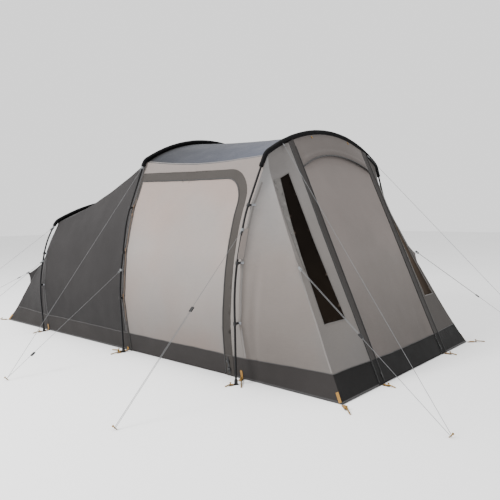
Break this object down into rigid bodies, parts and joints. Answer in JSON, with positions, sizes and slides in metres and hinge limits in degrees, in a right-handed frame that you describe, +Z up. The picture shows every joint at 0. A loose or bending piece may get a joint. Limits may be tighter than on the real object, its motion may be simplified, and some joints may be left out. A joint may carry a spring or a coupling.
{
  "type": "tunnel tent on poles",
  "caption": "Tunnel tent on outside arch poles, with a raked front door, side doors, a lower dark bedroom end, skirts, pegs and taut guy ropes with runners.",
  "frame": {"origin": "on the ground under the middle of the tent, at the middle of its length and width", "axes": "+X towards the front door, along the tent; +Y to the tent's left; +Z up"},
  "size_m": [5.8544, 4.8646, 2.1008],
  "materials": {
    "wall_cloth": "coated plain-weave polyester, light warm grey",
    "roof_cloth": "coated plain-weave polyester, slate grey",
    "bedroom_cloth": "coated plain-weave polyester, charcoal",
    "skirt_cloth": "heavy coated cloth, dark grey",
    "trim_cloth": "coated cloth, dark brown-grey",
    "window_film": "tinted clear film, glossy",
    "pole_metal": "dark powder coat, satin",
    "sleeve_cloth": "black woven sleeve",
    "black_plastic": "moulded nylon, matt",
    "webbing": "woven webbing, amber",
    "tab_webbing": "woven webbing, grey",
    "black_rings": "black enamel",
    "peg_metal": "gold anodised, satin",
    "zip_metal": "black enamel",
    "guy_rope": "braided cord, light grey"
  },
  "bodies": {
    "tent": {"living_wall_left": "wall_cloth", "living_wall_right": "wall_cloth", "front_wings": "wall_cloth", "window_panel_left": "wall_cloth", "window_panel_right": "wall_cloth", "front_hood": "wall_cloth", "front_roof": "roof_cloth", "rear_roof": "bedroom_cloth", "bedroom_walls": "bedroom_cloth", "rear_wings": "bedroom_cloth", "rear_panel": "bedroom_cloth", "mud_skirt": "skirt_cloth", "groundsheet": "skirt_cloth", "side_door_borders": "trim_cloth", "front_zip_strips": "trim_cloth", "window_panes": "window_film", "front_arch_legs": "pole_metal", "middle_arch_legs": "pole_metal", "rear_arch_legs": "pole_metal", "roof_poles": "pole_metal", "pole_elbows": "pole_metal", "pole_sleeves": "sleeve_cloth", "pole_clips": "black_plastic", "pole_feet": "black_plastic", "strap_buckles": "black_plastic", "peg_webbing": "webbing", "guy_tabs": "tab_webbing", "peg_rings": "black_rings", "ground_pegs": "peg_metal", "guy_pegs": "peg_metal", "guy_rope_front_corner_left": "guy_rope", "guy_rope_front_corner_right": "guy_rope", "guy_rope_front_arch_left": "guy_rope", "guy_rope_front_arch_right": "guy_rope", "guy_rope_middle_arch_left": "guy_rope", "guy_rope_middle_arch_right": "guy_rope", "guy_rope_rear_arch_left": "guy_rope", "guy_rope_rear_arch_right": "guy_rope", "guy_rope_rear_corner_left": "guy_rope", "guy_rope_rear_corner_right": "guy_rope"},
    "side_door_left": {"side_door_left": "wall_cloth", "side_door_skirt_left": "skirt_cloth"},
    "side_door_right": {"side_door_right": "wall_cloth", "side_door_skirt_right": "skirt_cloth"},
    "front_door": {"front_door": "wall_cloth", "front_door_skirt": "skirt_cloth"},
    "zip_slider_front_left": {"zip_slider_front_left": "zip_metal"},
    "zip_slider_front_right": {"zip_slider_front_right": "zip_metal"},
    "zip_slider_side_left": {"zip_slider_side_left": "zip_metal"},
    "zip_slider_side_right": {"zip_slider_side_right": "zip_metal"},
    "guy_runner_front_corner_left": {"guy_runner_front_corner_left": "black_plastic"},
    "guy_runner_front_corner_right": {"guy_runner_front_corner_right": "black_plastic"},
    "guy_runner_front_arch_left": {"guy_runner_front_arch_left": "black_plastic"},
    "guy_runner_front_arch_right": {"guy_runner_front_arch_right": "black_plastic"},
    "guy_runner_middle_arch_left": {"guy_runner_middle_arch_left": "black_plastic"},
    "guy_runner_middle_arch_right": {"guy_runner_middle_arch_right": "black_plastic"},
    "guy_runner_rear_arch_left": {"guy_runner_rear_arch_left": "black_plastic"},
    "guy_runner_rear_arch_right": {"guy_runner_rear_arch_right": "black_plastic"},
    "guy_runner_rear_corner_left": {"guy_runner_rear_corner_left": "black_plastic"},
    "guy_runner_rear_corner_right": {"guy_runner_rear_corner_right": "black_plastic"}
  },
  "joints": [
    {"name": "side_door_left_swing", "type": "hinge", "parent": "tent", "child": "side_door_left", "pos_m": [0.092, 1.222, 0.56], "axis": [0, -0.1322, 0.9912], "range_deg": [0, 90]},
    {"name": "side_door_right_swing", "type": "hinge", "parent": "tent", "child": "side_door_right", "pos_m": [0.092, -1.222, 0.56], "axis": [0, -0.1322, -0.9912], "range_deg": [0, 90]},
    {"name": "front_door_drop", "type": "hinge", "parent": "tent", "child": "front_door", "pos_m": [2.441, 0, 0.003], "axis": [0, 1, 0], "range_deg": [0, 112]},
    {"name": "zip_front_left_slide", "type": "slide", "parent": "tent", "child": "zip_slider_front_left", "axis": [-0.4081, 0, 0.9129], "range_m": [0, 1.5]},
    {"name": "zip_side_left_slide", "type": "slide", "parent": "tent", "child": "zip_slider_side_left", "axis": [0.0964, 0.1671, 0.9812], "range_m": [0, 0.42]},
    {"name": "zip_front_right_slide", "type": "slide", "parent": "tent", "child": "zip_slider_front_right", "axis": [-0.4081, 0, 0.9129], "range_m": [0, 1.5]},
    {"name": "zip_side_right_slide", "type": "slide", "parent": "tent", "child": "zip_slider_side_right", "axis": [0.0964, -0.1671, 0.9812], "range_m": [0, 0.42]},
    {"name": "front_corner_left_runner_slide", "type": "slide", "parent": "tent", "child": "guy_runner_front_corner_left", "axis": [-0.8049, -0.1477, 0.5747], "range_m": [0, 0.25]},
    {"name": "front_corner_right_runner_slide", "type": "slide", "parent": "tent", "child": "guy_runner_front_corner_right", "axis": [-0.8049, 0.1477, 0.5747], "range_m": [0, 0.25]},
    {"name": "front_arch_left_runner_slide", "type": "slide", "parent": "tent", "child": "guy_runner_front_arch_left", "axis": [0.0142, 0.7221, -0.6916], "range_m": [0, 0.25]},
    {"name": "front_arch_right_runner_slide", "type": "slide", "parent": "tent", "child": "guy_runner_front_arch_right", "axis": [0.0142, -0.7221, -0.6916], "range_m": [0, 0.25]},
    {"name": "middle_arch_left_runner_slide", "type": "slide", "parent": "tent", "child": "guy_runner_middle_arch_left", "axis": [-0.0079, -0.8259, 0.5637], "range_m": [0, 0.25]},
    {"name": "middle_arch_right_runner_slide", "type": "slide", "parent": "tent", "child": "guy_runner_middle_arch_right", "axis": [-0.0079, 0.8259, 0.5637], "range_m": [0, 0.25]},
    {"name": "rear_arch_left_runner_slide", "type": "slide", "parent": "tent", "child": "guy_runner_rear_arch_left", "axis": [-0.0226, 0.8233, -0.5671], "range_m": [0, 0.25]},
    {"name": "rear_arch_right_runner_slide", "type": "slide", "parent": "tent", "child": "guy_runner_rear_arch_right", "axis": [-0.0226, -0.8233, -0.5671], "range_m": [0, 0.25]},
    {"name": "rear_corner_left_runner_slide", "type": "slide", "parent": "tent", "child": "guy_runner_rear_corner_left", "axis": [0.411, -0.7871, 0.4599], "range_m": [0, 0.04]},
    {"name": "rear_corner_right_runner_slide", "type": "slide", "parent": "tent", "child": "guy_runner_rear_corner_right", "axis": [0.411, 0.7871, 0.4599], "range_m": [0, 0.04]}
  ]
}
